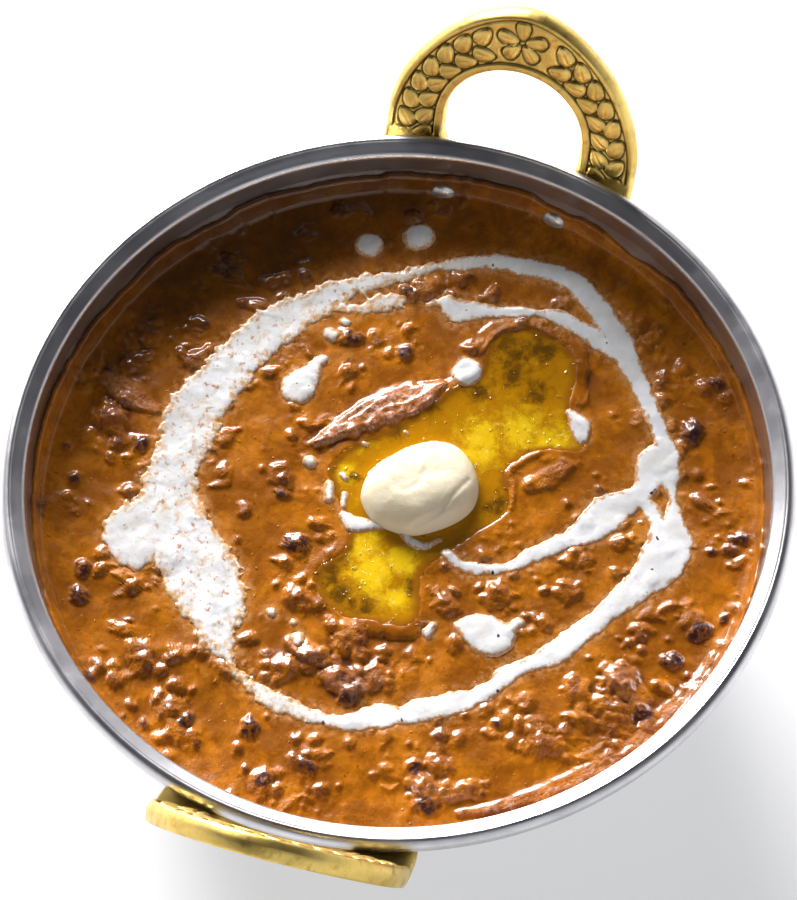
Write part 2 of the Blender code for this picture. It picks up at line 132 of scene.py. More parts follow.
# glossy ridges of skin: (x, y, half width) along them, and their height
RIDGES = (
    (((9.5, 21, 0.8), (14, 17, 2.4), (19.5, 11.5, 3.9), (25, 5, 4.2), (29.5, 0, 1.4)), 1.4),
    (((39, -6, 0.5), (45.3, -8.5, 0.9), (49, -15, 1), (46.5, -22.5, 0.8), (43, -27, 0.5)), 0.6),
    (((6, -22.5, 0.6), (11, -21.5, 1), (14.5, -19.5, 1.1), (20, -24, 0.8)), 0.45),
    (((-12, -73, 0.8), (-24, -69, 1.6), (-36, -62.5, 2.4), (-47, -54.5, 2.2), (-57, -43, 1.8),
      (-63, -32, 0.8)), 0.8),
    (((37, 46, 0.8), (37.5, 42, 1.8), (36.5, 38, 1.2)), 0.7),
    (((-24, -53, 2), (-26, -57, 3.2), (-28, -60, 2.4)), 0.8),
    (((-36, 12.5, 1.6), (-37, 8.5, 2.4), (-38, 5, 1.8)), 1),
    (((-41, 2, 2.2), (-41, -2, 3.6), (-39, -6, 2.8)), 0.8),
    (((8, 57, 1.8), (10, 62, 3.2), (12, 67, 2)), 0.8),
    (((-59, -21, 1.6), (-60, -26, 2.6), (-58, -31, 1.8)), 0.7),
    (((12, -25, 1.4), (15, -28, 2.6), (19, -31, 1.6)), 0.5))


# Small helpers ---

def ease(low, high, value):
    """0 at low, 1 at high and smooth between; low may be above high."""
    share = np.clip((value - low) / (high - low), 0, 1)
    return share * share * (3 - 2 * share)


def noise(x, y, size, seed):
    """Smooth noise from about -1 to 1 whose bumps are size mm across."""
    angle = np.random.default_rng(seed).random((64, 64)) * 2 * pi
    u, v = x / size + 31.7, y / size + 17.3
    i, j = np.floor(u).astype(int), np.floor(v).astype(int)
    u, v = u - i, v - j

    def corner(di, dj):
        turn = angle[(i + di) % 64, (j + dj) % 64]
        return np.cos(turn) * (u - di) + np.sin(turn) * (v - dj)

    su, sv = (w * w * w * (w * (w * 6 - 15) + 10) for w in (u, v))
    low = corner(0, 0) * (1 - su) + corner(1, 0) * su
    high = corner(0, 1) * (1 - su) + corner(1, 1) * su
    return 1.5 * (low * (1 - sv) + high * sv)


def smooth_path(points, steps, closed=False):
    """Catmull-Rom curve through points of any dimension."""
    before, after = (points[-1:], points[:2]) if closed else (points[:1], points[-1:])
    around = [*before, *points, *after]
    path = []
    for span in zip(around, around[1:], around[2:], around[3:]):
        for step in range(steps):
            t = step / steps
            path.append(tuple(0.5 * (2 * b + (c - a) * t + (2 * a - 5 * b + 4 * c - d) * t ** 2
                                     + (3 * b - a - 3 * c + d) * t ** 3)
                              for a, b, c, d in zip(*span)))
    return path if closed else path + [tuple(points[-1])]


def wall_point(t, offset=0.0):
    """Point (radius, height) of the bowl's outer wall at t, moved outward by offset."""
    s = 1 - t
    weights = (s ** 3, 3 * s * s * t, 3 * s * t * t, t ** 3)
    slopes = (-3 * s * s, 3 * s * s - 6 * s * t, 6 * s * t - 3 * t * t, 3 * t * t)
    r, z = (sum(w * p[axis] for w, p in zip(weights, WALL_CURVE)) for axis in (0, 1))
    dr, dz = (sum(w * p[axis] for w, p in zip(slopes, WALL_CURVE)) for axis in (0, 1))
    length = hypot(dr, dz)
    return r + offset * dz / length, z - offset * dr / length


INNER_WALL = np.array([wall_point(t, -WALL) for t in np.linspace(0, 1, 400)])


def inner_radius(height):
    """Radius of the bowl's inner wall at a height."""
    return np.interp(height, INNER_WALL[:, 1], INNER_WALL[:, 0])


def polar(radius, angle):
    """x and y at a radius and angle."""
    return radius * np.cos(angle), radius * np.sin(angle)


def add_mesh(name, points, faces, material, fields=None):
    """Object from points in mm; fields are named numbers, one for each point."""
    mesh = bpy.data.meshes.new(name)
    mesh.from_pydata((np.asarray(points, float) * MM).tolist(), [], faces)
    for field, values in (fields or {}).items():
        layer = mesh.attributes.new(field, "FLOAT", "POINT")
        layer.data.foreach_set("value", np.asarray(values, np.float32).ravel())
    body = bmesh.new()
    body.from_mesh(mesh)
    bmesh.ops.recalc_face_normals(body, faces=body.faces)
    body.to_mesh(mesh)
    body.free()
    mesh.shade_smooth()
    mesh.materials.append(material)
    item = bpy.data.objects.new(name, mesh)
    bpy.context.scene.collection.objects.link(item)
    return item


def place_piece(item, slot, *nodes):
    """The piece rides on the body and stands for the nodes, whose CAD parts it hides; slot is not used."""
    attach(item, "root")
    if nodes:
        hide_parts(*nodes)


def stacked(*parts):
    """Arrays such as x, y and z as the last axis of one array."""
    return np.stack(parts, axis=-1)


def grid_faces(rows, columns, wrap=False):
    """Quads of a grid of points stored row by row; wrap closes each row."""
    last = columns if wrap else columns - 1
    i, j = np.meshgrid(np.arange(rows - 1), np.arange(last), indexing="ij")
    here, after = i * columns + j, i * columns + (j + 1) % columns
    return stacked(here, after, after + columns, here + columns).reshape(-1, 4).tolist()


def band_faces(ring, other):
    """Quads between two closed rings of points."""
    return stacked(ring, other, np.roll(other, -1), np.roll(ring, -1)).tolist()


def fan_faces(ring, middle):
    """Triangles between a closed ring of points and a middle point."""
    return stacked(ring, np.full(len(ring), middle), np.roll(ring, -1)).tolist()


def tube_faces(rows, columns):
    """Faces of a body whose points are rows of rings, then a middle point for each end."""
    count, ring = rows * columns, np.arange(columns)
    ends = fan_faces(ring, count) + fan_faces(ring + count - columns, count + 1)
    return grid_faces(rows, columns, wrap=True) + ends


# Node helpers ---

class Paint:
    """A node material, short ways to add nodes, and the colour painted so far."""

    def __init__(self, name, values):
        self.material = bpy.data.materials.new(name)
        self.material.use_nodes = True
        self.nodes = self.material.node_tree.nodes
        self.links = self.material.node_tree.links
        self.shader = self.nodes["Principled BSDF"]
        for socket, value in values.items():
            self.shader.inputs[socket].default_value = value
        self.place = self.add("TexCoord", {}, "Object")
        self.colour = None

    def join(self, source, socket):
        """Link a socket, or set a constant, on another socket."""
        if isinstance(source, bpy.types.NodeSocket):
            self.links.new(source, socket)
        elif source is not None:
            socket.default_value = source

    def add(self, kind, inputs, output, **settings):
        """Add a node whose inputs are sockets or constants, and give back an output."""
        node = self.nodes.new("ShaderNode" + kind)
        for setting, value in settings.items():
            setattr(node, setting, value)
        for socket, source in inputs.items():
            self.join(source, node.inputs[socket])
        return node.outputs[output]

    def stretch(self, scale):
        return self.add("Mapping", {"Vector": self.place, "Scale": scale}, "Vector")

    def noise(self, size, detail=2.0, rough=0.5, warp=0.0, vector=None):
        """Noise from 0 to 1 whose bumps are size mm across."""
        inputs = {"Vector": vector or self.place, "Scale": 1000 / size, "Detail": detail,
                  "Roughness": rough, "Distortion": warp}
        return self.add("TexNoise", inputs, "Fac")

    def field(self, name):
        return self.add("Attribute", {}, "Fac", attribute_name=name)

    def remap(self, value, low, high, to_low=0.0, to_high=1.0):
        inputs = dict(enumerate((value, low, high, to_low, to_high)))
        return self.add("MapRange", inputs, "Result", interpolation_type="SMOOTHSTEP")

    def spots(self, low, high, *noise):
        """0 where the noise is at low, 1 where it is at high."""
        return self.remap(self.noise(*noise), low, high)

    def math(self, operation, first, second):
        return self.add("Math", {0: first, 1: second}, 0, operation=operation)

    def times(self, first, second):
        return self.math("MULTIPLY", first, second)

    def mix(self, share, *colours):
        first, second = (c if isinstance(c, bpy.types.NodeSocket) else (*c, 1.0) for c in colours)
        return self.add("Mix", {"Factor": share, 6: first, 7: second}, 2, data_type="RGBA")

    def over(self, share, colour, strength=None):
        """Paint a colour over the last, by a share from 0 to 1 times a strength."""
        if strength:
            share = self.times(share, strength)
        self.colour = self.mix(share, self.colour, colour)

    def bump(self, height, depth, normal=None):
        """Normal from a height of 0 to 1 that stands for depth mm."""
        return self.add("Bump", {"Distance": depth * MM, "Height": height, "Normal": normal}, "Normal")

    def set(self, socket, source):
        self.join(source, self.shader.inputs[socket])

    def finish(self, normal):
        self.set("Base Color", self.colour)
        self.set("Normal", normal)
        return self.material


# Height fields over the bowl ---

PITCH = 0.25
AXIS = np.arange(-80, 80 + PITCH / 2, PITCH)
GX, GY = np.meshgrid(AXIS, AXIS, indexing="ij")


def ripple(size, seed):
    """Noise over the whole bowl."""
    return noise(GX, GY, size, seed)


def sample(field, x, y):
    """Value of a field at any points."""
    u = np.clip((np.asarray(x) - AXIS[0]) / PITCH, 0, len(AXIS) - 1.001)
    v = np.clip((np.asarray(y) - AXIS[0]) / PITCH, 0, len(AXIS) - 1.001)
    i, j = u.astype(int), v.astype(int)
    u, v = u - i, v - j
    return ((field[i, j] * (1 - v) + field[i, j + 1] * v) * (1 - u)
            + (field[i + 1, j] * (1 - v) + field[i + 1, j + 1] * v) * u)


def window(x, y, reach):
    """Slices of the fields round a point."""
    low_i, low_j = (max(int((c - reach - AXIS[0]) / PITCH), 0) for c in (x, y))
    high_i, high_j = (int((c + reach - AXIS[0]) / PITCH) + 2 for c in (x, y))
    return slice(low_i, high_i), slice(low_j, high_j)


def from_segment(x, y, start, end):
    """Share of the way along a segment, distance and cross product at each (x, y)."""
    dx, dy = end[0] - start[0], end[1] - start[1]
    px, py = x - start[0], y - start[1]
    share = np.clip((px * dx + py * dy) / max(dx * dx + dy * dy, 1e-9), 0, 1)
    return share, np.hypot(px - dx * share, py - dy * share), py * dx - px * dy


def stroke_field(path, closed=False):
    """Half width less the distance to a path of (x, y, half width): positive on the stroke."""
    field = np.full_like(GX, -30.0)
    for start, end in zip(path, path[1:] + path[:1] if closed else path[1:]):
        (x0, y0, w0), (x1, y1, w1) = start, end
        cells = window((x0 + x1) / 2, (y0 + y1) / 2, 14 + hypot(x1 - x0, y1 - y0))
        share, away, _ = from_segment(GX[cells], GY[cells], start, end)
        field[cells] = np.maximum(field[cells], w0 + (w1 - w0) * share - away)
    return field


def outline_field(points):
    """Signed distance to a closed outline, positive inside it."""
    path = smooth_path(points, 4, closed=True)
    nearest = np.full_like(GX, 30.0)
    inside = np.zeros(GX.shape, bool)
    for (x0, y0), (x1, y1) in zip(path, path[1:] + path[:1]):
        cells = window((x0 + x1) / 2, (y0 + y1) / 2, 24)
        away = from_segment(GX[cells], GY[cells], (x0, y0), (x1, y1))[1]
        nearest[cells] = np.minimum(nearest[cells], away)
        rows = (GY >= min(y0, y1)) & (GY < max(y0, y1))
        if abs(y1 - y0) > 1e-9:
            inside ^= rows & (GX < x0 + (GY - y0) * (x1 - x0) / (y1 - y0))
    return np.where(inside, nearest, -nearest)


def splat(field, x, y, half_a, half_b, turn, height, power):
    """Raise an uneven dome on the field, blended with what stands there."""
    cells = window(x, y, max(half_a, half_b) * 1.3)
    dx, dy = GX[cells] - x, GY[cells] - y
    c, s = cos(turn), sin(turn)
    away = ((dx * c + dy * s) / half_a) ** 2 + ((dy * c - dx * s) / half_b) ** 2
    dome = height * np.clip(1 - away * (1 + LUMP_WOBBLE[cells]), 0, 1) ** power
    field[cells] = (field[cells] ** 3 + dome ** 3) ** (1 / 3)


LUMP_WOBBLE = 0.42 * ripple(1.9, 5) + 0.25 * ripple(0.9, 9)
POOL = outline_field(POOL_EDGE) + 0.5 * ripple(3.0, 41) + 0.25 * ripple(1.1, 42)
CURDLED = ease(-5, 20, GY) * (1 - 0.6 * ease(-12, -22, GX) * ease(42, 47, GY))


def widest(strokes):
    """Field of several strokes together."""
    return np.maximum.reduce([stroke_field(smooth_path(s, 6)) for s in strokes])


def cream_fields():
    """How far inside the outlines of the swirl and the drops each place is, in mm."""
    swirl = stroke_field(smooth_path(CREAM_RING, 6, True), closed=True)
    swirl = np.maximum(swirl, widest(CREAM_STROKES))
    broad, middle, fringe = ripple(5.5, 21), ripple(2.0, 22), ripple(0.8, 23)
    ragged = 0.5 * broad + 0.35 * middle + 0.16 * fringe
    hairy = 0.5 * broad + 0.75 * middle + 0.6 * fringe
    swirl = swirl + ragged * (1 - CURDLED) + hairy * CURDLED
    swirl -= CURDLED * 3.0 * np.clip(ripple(1.5, 24) - 0.42, 0, 1)
    return swirl, widest(CREAM_DROPS + CREAM_DOTS) + 0.25 * middle + 0.14 * fringe


SWIRL, DROPS = cream_fields()


def scattered(rng, count, reach=75):
    """Random (x, y) places over the curry."""
    radius, angle = reach * np.sqrt(rng.random(count)), rng.random(count) * 2 * pi
    return stacked(*polar(radius, angle))


CROWD = ease(-0.25, 0.65, ripple(13.0, 14) + 0.5 * ripple(6.0, 15))


def lump_fields():
    """Heights of the sauce-coated lumps and of the bare lentils."""
    rng = np.random.default_rng(7)
    coated, bare = np.zeros_like(GX), np.zeros_like(GX)
    for count, small, large, wanted in ((1700, 0.9, 2.4, 0.7), (3000, 0.4, 1.0, 0.85)):
        for x, y in scattered(rng, count):
            size, stretch = rng.uniform(small, large), rng.uniform(0.6, 0.95)
            turn, rise = rng.random() * pi, rng.uniform(0.4, 0.9)
            lot, kind = rng.random(), rng.random()
            if lot < sample(CROWD, x, y) * wanted + 0.03 and sample(POOL, x, y) < -1.5:
                field = bare if kind < 0.22 and size > 0.9 else coated
                splat(field, x, y, size, size * stretch, turn, size * rise * 0.56, 0.75)
    for x, y, size in BIG_LUMPS:
        splat(coated, x, y, size * 1.25, size * 0.9, rng.random() * pi, 0.36 * size, 0.9)
        for _ in range(3):
            dx, dy = rng.normal(0, 0.75 * size, 2)
            splat(coated, x + dx, y + dy, size * rng.uniform(0.4, 0.7), size * rng.uniform(0.3, 0.5),
                  rng.random() * pi, 0.26 * size, 0.8)
    for x, y, size in DARK_LENTILS:
        splat(bare, x, y, size * 1.05, size * 0.8, rng.random() * pi, 0.48 * size, 0.6)
    return coated, bare


COATED, BARE = lump_fields()


def raise_fold(height, path, rise):
    """Raise a fold of skin along (x, y, half width): a long slope to the light, a steep back."""
    line = smooth_path(path, 5)
    (x0, y0, _), (x1, y1, _) = line[0], line[-1]
    cells = window((x0 + x1) / 2, (y0 + y1) / 2, hypot(x1 - x0, y1 - y0) / 2 + 6)
    px, py = GX[cells], GY[cells]
    gap, lateral, wide, along = (np.full(px.shape, v) for v in (99.0, 0.0, 1.0, 0.0))
    done = 0.0
    for start, end in zip(line, line[1:]):
        length = hypot(end[0] - start[0], end[1] - start[1])
        t, away, cross = from_segment(px, py, start, end)
        near = away < gap
        gap, lateral = np.where(near, away, gap), np.where(near, cross / length, lateral)
        wide = np.where(near, start[2] + (end[2] - start[2]) * t, wide)
        along = np.where(near, done + t * length, along)
        done += length
    to_light = -(y1 - y0) * TO_LIGHT[0] + (x1 - x0) * TO_LIGHT[1]
    lateral = lateral * (1 if to_light > 0 else -1) / wide
    streaks = (1 + 0.34 * noise(along, lateral * wide * 4, 4.5, 16)
               + 0.20 * noise(along, lateral * wide * 3, 2.0, 18))
    ramp = 0.5 + 0.5 * np.clip((0.9 - lateral) / 1.7, 0, 1)
    fold = rise * ramp * ease(1.25, 0.55, lateral) * ease(-1.35, -0.7, lateral)
    torn = 1 + 0.55 * noise(px, py, 2.6, 20)
    fold = fold * streaks * ease(1.5, 0.7, gap / wide * torn)
    height[cells] = np.maximum(height[cells], fold)


TO_LIGHT = (0.84, 0.54)             # the way the folds' long slopes face


def fold_field():
    """Height of the large folds and of many small ones where the lumps crowd."""
    height = np.zeros_like(GX)
    for path, rise in RIDGES:
        raise_fold(height, path, rise)
    rng = np.random.default_rng(19)
    for x, y in scattered(rng, 450, 72):
        heading = atan2(TO_LIGHT[1], TO_LIGHT[0]) + pi / 2 + rng.normal(0, 0.55)
        length, wide, rise = rng.uniform(1.2, 3.2), rng.uniform(0.8, 1.9), rng.uniform(0.2, 0.5)
        bend, lot = rng.normal(0, 0.8), rng.random()
        if lot < 0.65 * sample(CROWD, x, y) and sample(POOL, x, y) < -3:
            dx, dy = cos(heading), sin(heading)
            path = ((x - dx * length, y - dy * length, 0.3 * wide), (x - dy * bend, y + dx * bend, wide),
                    (x + dx * length, y + dy * length, 0.3 * wide))
            raise_fold(height, path, rise)
    return height


RIDGE = fold_field()


def blurred(field, reach):
    """Field smoothed by moving averages reach mm wide."""
    width = int(reach / PITCH) | 1
    for axis in (0, 1, 0, 1):
        sides = [(0, 0), (0, 0)]
        sides[axis] = width // 2 + 1, width // 2
        total, count = np.cumsum(np.pad(field, sides, "edge"), axis), field.shape[axis]
        field = (total.take(range(width, width + count), axis) - total.take(range(count), axis)) / width
    return field


def curry_surface():
    """Height of the curry's top over the whole bowl."""
    warped = GX + 2.0 * ripple(9.0, 11), GY + 2.0 * ripple(9.0, 12)
    gloop = 0.5 * ripple(24.0, 1)
    for rise, size, seed in ((0.28, 10.0, 2), (0.12, 4.6, 3), (0.04, 2.2, 4)):
        gloop += rise * noise(*warped, size, seed)
    lumps = (COATED ** 3 + BARE ** 3) ** (1 / 3)
    rough = np.maximum(ease(0.05, 0.6, lumps), 0.6 * CROWD)
    creases = np.minimum(np.abs(noise(*warped, 3.4, 13)), 0.7)
    lumps = lumps * (0.72 + 0.65 * creases) + rough * (0.17 * ripple(2.1, 6) + 0.07 * ripple(1.1, 17))
    cream = ease(-1.2, 0.8, np.maximum(SWIRL, DROPS))
    height = LEVEL + gloop + (lumps + RIDGE) * (1 - 0.8 * cream) - 0.15
    shore = ease(-4.0, -0.8, POOL) * (1 - ease(-0.6, 0.2, POOL))
    height = np.maximum(height, POOL_LEVEL + 0.35 * shore - 3 * (1 - ease(-4.5, -3.0, POOL)))
    return height - ease(-0.4, 2.6, POOL) * (height - LEVEL + 1.6)


HEIGHT = curry_surface()
# painted shade: the sauce is painted darker along the wall on the far left, where the rim's shadow falls on
# it
PAINTED_WALL_SHADE = ease(44, 72, 0.77 * GX + 0.64 * GY + 5 * ripple(16.0, 35) + 2 * ripple(5.0, 36))


# Cream ---

def cream_thickness(inside, full):
    """Thickness of the cream, inside mm from its outline."""
    rounded = 1 - np.exp(-np.clip(inside, 0, 9) / 0.6)
    lumpy = 1 + 0.16 * ripple(4.0, 27) + 0.10 * CURDLED * ripple(1.3, 28)
    return np.where(inside > 0, full * rounded * lumpy, inside * 1.1)


def layer_body(name, thickness, pitch, material, fields, ground, floor=-0.35):
    """Closed sheet over the ground wherever its thickness is above floor."""
    axis = np.arange(-78, 78 + pitch / 2, pitch)
    x, y = np.meshgrid(axis, axis, indexing="ij")
    thick, ground = sample(thickness, x, y), sample(ground, x, y)
    shown = thick > floor
    cells = no_pinches(shown[:-1, :-1] & shown[1:, 1:] & shown[:-1, 1:] & shown[1:, :-1])
    around = np.pad(cells, 1)
    used = around[:-1, :-1] | around[1:, 1:] | around[:-1, 1:] | around[1:, :-1]
    number, total = np.full(x.shape, -1), int(used.sum())
    number[used] = np.arange(total)
    heights = ground + np.maximum(thick, floor), ground + floor - 0.15
    points = np.concatenate([stacked(x[used], y[used], h[used]) for h in heights])
    corners = [number[:-1, :-1], number[1:, :-1], number[1:, 1:], number[:-1, 1:]]
    quads = stacked(*(c[cells] for c in corners))
    faces = [quads, quads[:, ::-1] + total]
    for shift, first, second in (((1, 0), 3, 0), ((0, 1), 0, 1), ((-1, 0), 1, 2), ((0, -1), 2, 3)):
        open_side = cells & ~np.roll(around, shift, (0, 1))[1:-1, 1:-1]
        a, b = corners[first][open_side], corners[second][open_side]
        faces.append(stacked(b, a, a + total, b + total))
    values = {key: np.tile(sample(field, x[used], y[used]), 2) for key, field in fields.items()}
    return add_mesh(name, points, np.concatenate(faces).tolist(), material, values)


def no_pinches(cells):
    """Fill the cells where two regions would touch at one corner only."""
    for _ in range(4):
        a, b, c, d = cells[:-1, :-1], cells[1:, 1:], cells[:-1, 1:], cells[1:, :-1]
        pinch = (a & b & ~c & ~d) | (c & d & ~a & ~b)
        for part in (a, b, c, d):
            part |= pinch
    return cells


def curry_material():
    paint = Paint("curry", {"Roughness": 0.34, "IOR": 1.4, "Specular IOR Level": 0.22,
                            "Coat Weight": 0.75, "Coat Roughness": 0.03, "Coat IOR": 1.45})
    broad = paint.spots(0.38, 0.62, 11, 4, 0.62, 0.3)
    paint.colour = paint.mix(broad, (0.315, 0.094, 0.002), (0.520, 0.168, 0.003))
    paint.over(paint.spots(0.42, 0.62, 3.2, 5, 0.7, 0.5), (0.215, 0.056, 0.001), 0.5)      # fine
    paint.over(paint.spots(0.54, 0.66, 5.5, 4, 0.65, 0.4), (0.60, 0.175, 0.002), 0.45)     # oily
    # painted shade: places lower than the curry round them are painted dark brown
    paint.over(paint.remap(paint.field("hollow_shade"), -0.10, -0.60), (0.11, 0.026, 0.002))
    paint.over(paint.spots(0.64, 0.74, 1.2, 3, 0.6), (0.62, 0.25, 0.03), 0.5)              # specks
    # painted shade: small dark pits
    paint.over(paint.spots(0.36, 0.28, 1.6, 3, 0.6), (0.10, 0.022, 0.003), 0.6)            # pits
    skin = paint.spots(0.42, 0.60, 2.0, 4, 0.65)
    brown = paint.remap(paint.noise(1.8, 4, 0.7), 0.40, 0.60, 0.1, 0.9)
    for field, share, colour, strength in (
            ("lump", skin, (0.16, 0.042, 0.016), 0.7),
            ("bare", paint.remap(skin, 0.0, 0.6, 0.45, 1.0), (0.055, 0.014, 0.011), None),
            ("fold", brown, (0.46, 0.165, 0.070), None),
            # pale streaks on the folds: partly the skin's own pale colour, partly painted highlight of their
            # glinting wrinkles
            ("fold", paint.spots(0.50, 0.62, 1.3, 4, 0.7, 0.5), (0.66, 0.43, 0.33), 0.7),
            ("smear", paint.spots(0.40, 0.62, 1.3, 4, 0.7), (0.62, 0.29, 0.10), 0.8)):
        paint.over(paint.times(paint.field(field), share), colour, strength)
    # painted shade of the rim's shadow along the far left wall
    paint.over(paint.field("shaded"), (0.070, 0.022, 0.001), 0.8)
    wrinkles = paint.bump(paint.times(paint.noise(1.8, 4, 0.62), paint.field("rough")), 0.55)
    droplets = paint.bump(paint.spots(0.72, 0.84, 1.5, 1, 0.5), 0.20, wrinkles)
    swells = paint.bump(paint.noise(5.0, 3, 0.5), 0.35, droplets)
    return paint.finish(paint.bump(paint.noise(2.6, 2, 0.5), 0.10, swells))


def cream_material():
    paint = Paint("cream", {"Roughness": 0.30, "IOR": 1.45, "Subsurface Weight": 0.3,
                            "Subsurface Radius": (1.0, 0.8, 0.55), "Subsurface Scale": 0.0012,
                            "Coat Weight": 0.3, "Coat Roughness": 0.15})
    tint = paint.spots(0.35, 0.65, 6, 4, 0.65)
    paint.colour = paint.mix(tint, (0.93, 0.93, 0.92), (0.83, 0.82, 0.79))
    curdled = paint.field("curdled")
    blotches = paint.times(paint.spots(0.50, 0.66, 3.4, 5, 0.75, 0.6), curdled)
    paint.over(blotches, (0.70, 0.50, 0.31), 0.75)
    grain = paint.noise(1.1, 4, 0.7)
    reach = paint.math("ADD", paint.field("inside"), grain)
    paint.over(paint.remap(reach, 0.60, 0.90, 1.0, 0.0), (0.62, 0.30, 0.10))
    ragged = paint.times(paint.remap(reach, 0.85, 1.45, 1.0, 0.0), curdled)
    paint.over(paint.times(ragged, paint.remap(grain, 0.44, 0.56, 1.0, 0.2)), (0.72, 0.42, 0.17))
    specks = paint.times(paint.spots(0.58, 0.68, 1.5, 3, 0.65), curdled)
    paint.over(specks, (0.56, 0.24, 0.06), 0.85)
    pepper = paint.math("SUBTRACT", paint.spots(0.80, 0.83, 1.7, 0, 0.5), curdled)
    paint.over(paint.math("MAXIMUM", pepper, 0.0), (0.055, 0.035, 0.020))
    return paint.finish(paint.bump(paint.noise(1.6, 3, 0.6), 0.10))


def pool_top():
    """Height of the melted butter, which climbs where it wets the curry and the pat."""
    shore = np.exp(-np.clip(POOL, 0, 9) / 0.7)
    pat = np.exp(-np.clip(pat_field(), 0, 9) / 0.8)
    return POOL_LEVEL + 0.28 * shore + 0.45 * pat + 0.10 * ripple(6.0, 51)


def make_cream():
    """Cream lies on the curry, and in a few places on the melted butter."""
    material = cream_material()
    ground = np.maximum(HEIGHT, np.where(POOL > -1.0, pool_top() - 0.1, 0))
    drops = ["cream_drop_%d" % n for n in range(1, 7)]
    for name, field, thick, mottled, nodes in (("cream_strokes", SWIRL, 0.36, 1.0, ["cream_swirl"]),
                                               ("cream_drops", DROPS, 0.7, 0.25, drops)):
        fields = {"inside": np.clip(field / 2.4, 0, 1), "curdled": CURDLED * mottled}
        piece = layer_body(name, cream_thickness(field, thick), 0.34, material, fields, ground)
        place_piece(piece, "cream", *nodes)


# Curry ---

def disc_grid(count):
    """Square grid bent into a disc: share of the radius and angle of each point."""
    line = np.linspace(-1, 1, count + 1)
    a, b = np.meshgrid(line, line, indexing="ij")
    safe_a, safe_b = (np.where(np.abs(c) < 1e-9, 1e-9, c) for c in (a, b))
    wide = np.abs(a) >= np.abs(b)
    reach = np.where(wide, a, b)
    turn = np.where(wide, pi / 4 * b / safe_a, pi / 2 - pi / 4 * a / safe_b)
    return np.maximum(np.abs(a), np.abs(b)), np.arctan2(reach * np.sin(turn), reach * np.cos(turn))


def grid_border(count):
    """Numbers of a square grid's outer points, in order round it."""
    number = np.arange((count + 1) ** 2).reshape(count + 1, count + 1)
    return np.concatenate([number[:-1, 0], number[-1, :-1], number[:0:-1, -1], number[0, :0:-1]])


def film_climb(angle):
    """How far sauce clings to the wall above the curry, round the bowl."""
    around = polar(60, angle)
    climb = 2.6 + 1.8 * ease(0.2, 0.9, np.cos(angle - radians(42)))
    for rise, size, seed in ((1.6, 26.0, 31), (0.9, 9.0, 32), (0.3, 3.0, 33)):
        climb += rise * noise(*around, size, seed)
    return np.maximum(climb, 0.5)


def curry_top(share, angle, film_start):
    """Radius and height of the curry's top; past film_start it climbs the wall as a film."""
    edge_radius = inner_radius(LEVEL + 0.6) - 0.8
    flat = share <= film_start
    radius = share / film_start * edge_radius
    height = sample(HEIGHT, *polar(radius, angle))
    edge_height = sample(HEIGHT, *polar(edge_radius, angle))
    edge_height = LEVEL + 0.5 * (edge_height - LEVEL) + 0.7
    reach = 1.5 + 0.9 * noise(*polar(60, angle), 8.0, 34)
    height += (edge_height - height) * np.exp(-np.clip(edge_radius - radius, 0, 99) / reach)
    climb = np.clip((share - film_start) / (1 - film_start), 0, 1)
    film_height = edge_height + climb * film_climb(angle)
    thickness = (0.3 + 0.5 * (1 - climb) ** 2.2) * np.sqrt(1 - climb ** 8)
    film_radius = inner_radius(film_height) - thickness + np.where(climb > 0.99, 0.45, 0.0)
    return np.where(flat, radius, film_radius), np.where(flat, height, film_height)


def curry_fields(x, y):
    """What the curry's material has to know at each (x, y)."""
    rough = np.clip(0.5 * CROWD + ease(0.1, 0.7, COATED + BARE) + ease(0.1, 0.5, RIDGE), 0.04, 1)
    # the curry's height below its local average and the band along the far wall are carried as painted shade
    fields = {"bare": ease(0.15, 0.7, BARE), "lump": ease(0.15, 1.2, COATED),
              "hollow_shade": HEIGHT - blurred(HEIGHT, 4.0), "rough": rough,
              "smear": np.maximum(ease(-2.4, 0.1, SWIRL), ease(-1.2, 0.1, DROPS)),
              "fold": ease(0.35, 1.0, RIDGE), "shaded": PAINTED_WALL_SHADE}
    fields = {name: sample(field, x, y) for name, field in fields.items()}
    fields["rough"] = np.maximum(fields["rough"], 0.3 * ease(66, 72, np.hypot(x, y)))
    return fields


def make_curry():
    """Closed body of curry that fills the bowl, its sides just inside the steel."""
    count, bottom = 288, WALL + 0.02
    share, angle = disc_grid(count)
    radius, height = curry_top(share, angle, 0.952)
    points = [stacked(*polar(radius, angle), height).reshape(-1, 3)]
    faces = grid_faces(count + 1, count + 1)
    ring = grid_border(count)
    turn, top = angle.ravel()[ring], height.ravel()[ring]
    start = (count + 1) ** 2
    for depth in (0.15, 0.35, 0.55, 0.72, 0.86, 0.95, 1.0):
        z = top * (1 - depth) + bottom * depth
        r = inner_radius(z) + 0.05 * (1 - depth)
        points.append(stacked(*polar(r, turn), z))
        new_ring = start + np.arange(len(ring))
        faces += band_faces(ring, new_ring)
        ring, start = new_ring, start + len(ring)
    faces += fan_faces(ring, start)
    points = np.concatenate([*points, [[0, 0, bottom]]])
    fields = curry_fields(points[:, 0], points[:, 1])
    place_piece(add_mesh("curry", points, faces, curry_material(), fields), "dal", "dal")


# Melted butter and pat ---

# where the melted butter looks light or dark: (x, y, reach)
POOL_LIGHT = (
    (21, -12, 5), (24, -19, 5), (22.5, -28, 5.5), (-11, 4, 5), (-16, 1, 6), (-12, -4, 4), (13, 11.5, 2.5),
    (4, 13, 2.5), (16, -13, 4), (-20, -5, 3))
POOL_DARK = (
    (41, -13, 6), (44, -18, 5), (36, -14, 4), (12.5, 15.5, 3), (17, 6, 3), (25, 0, 3), (-17, 10, 4.5),
    (-23, 6, 4), (-24, 0, 3), (-17, -7.5, 2.5), (6, -20, 4), (20, -26, 2), (34, -20, 3.5), (31, -8, 3.5),
    (4, 11, 2.2), (-25, 3, 3.5), (-20, 9.5, 3.5))


